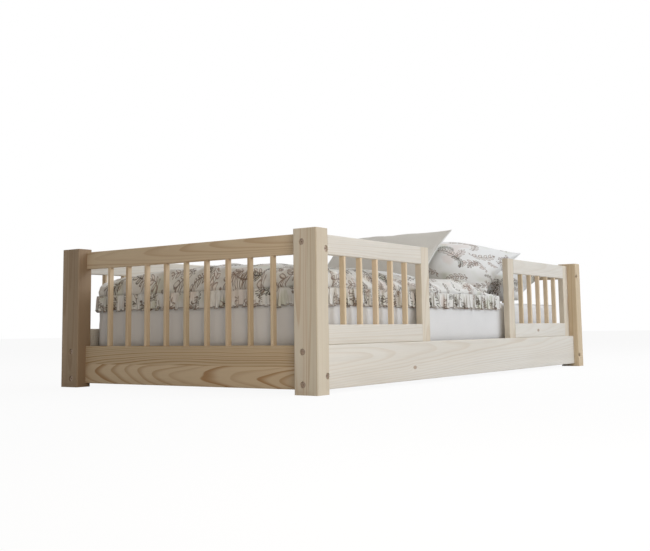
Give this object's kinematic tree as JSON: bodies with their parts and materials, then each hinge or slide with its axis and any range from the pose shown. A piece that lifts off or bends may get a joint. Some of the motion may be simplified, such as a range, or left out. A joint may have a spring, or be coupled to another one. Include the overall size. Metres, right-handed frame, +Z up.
{
  "type": "toddler floor bed",
  "caption": "Low pine toddler bed with slatted end panels, side guards with an entry gap, slatted base, mattress, ruffled duvet and loose pillows.",
  "frame": {"origin": "on the floor, under the middle of the bed's footprint", "axes": "+X from the foot end to the head end, -Y towards the entry side, +Z up"},
  "size_m": [2.02, 1.04, 0.5783],
  "materials": {
    "pine": "matte",
    "bolt_steel": "satin",
    "webbing": "matte",
    "sheet_cotton": "matte",
    "duvet_cotton": "matte",
    "pillow_greige": "matte",
    "pillow_print": "matte",
    "pillow_pale": "matte"
  },
  "bodies": {
    "bed_frame": {"post_foot_front": "pine", "post_foot_wall": "pine", "post_head_front": "pine", "post_head_wall": "pine", "foot_top_rail": "pine", "foot_board": "pine", "head_top_rail": "pine", "head_board": "pine", "foot_spindle_1": "pine", "foot_spindle_2": "pine", "foot_spindle_3": "pine", "foot_spindle_4": "pine", "foot_spindle_5": "pine", "foot_spindle_6": "pine", "foot_spindle_7": "pine", "foot_spindle_8": "pine", "foot_spindle_9": "pine", "head_spindles": "pine", "side_rail_front": "pine", "side_rail_wall": "pine", "guard_foot_post_stile": "pine", "guard_foot_entry_stile": "pine", "guard_foot_top_rail": "pine", "guard_foot_bottom_rail": "pine", "guard_foot_spindle_1": "pine", "guard_foot_spindle_2": "pine", "guard_foot_spindle_3": "pine", "guard_foot_spindle_4": "pine", "guard_foot_spindle_5": "pine", "guard_head_post_stile": "pine", "guard_head_entry_stile": "pine", "guard_head_top_rail": "pine", "guard_head_bottom_rail": "pine", "guard_head_spindle_1": "pine", "guard_head_spindle_2": "pine", "guard_head_spindle_3": "pine", "guard_head_spindle_4": "pine", "guard_head_spindle_5": "pine", "guard_wall_top_rail": "pine", "guard_wall_bottom_rail": "pine", "guard_wall_spindles": "pine", "joint_dowels": "pine", "frame_bolts": "bolt_steel", "barrel_nuts": "bolt_steel", "cleat_screws": "bolt_steel", "slat_screws": "bolt_steel", "guard_screws": "bolt_steel", "slat_cleat_front": "pine", "slat_cleat_wall": "pine", "slats": "pine", "slat_straps": "webbing"},
    "mattress": {"mattress": "sheet_cotton"},
    "duvet": {"duvet": "duvet_cotton", "duvet_ruffle": "duvet_cotton"},
    "pillow_back": {"pillow_back": "pillow_pale"},
    "pillow_middle": {"pillow_middle": "pillow_print"},
    "pillow_front": {"pillow_front": "pillow_greige"}
  },
  "joints": [
    {"name": "mattress_lift", "type": "slide", "parent": "bed_frame", "child": "mattress", "axis": [0, 0, 1], "range_m": [0, 0.34]},
    {"name": "duvet_lift", "type": "slide", "parent": "mattress", "child": "duvet", "axis": [0, 0, 1], "range_m": [0, 0.2]},
    {"name": "pillow_back_lift", "type": "slide", "parent": "duvet", "child": "pillow_back", "axis": [0, 0, 1], "range_m": [0, 0.2]},
    {"name": "pillow_middle_lift", "type": "slide", "parent": "pillow_back", "child": "pillow_middle", "axis": [0, 0, 1], "range_m": [0, 0.2]},
    {"name": "pillow_front_lift", "type": "slide", "parent": "pillow_middle", "child": "pillow_front", "axis": [0, 0, 1], "range_m": [0, 0.2]}
  ]
}
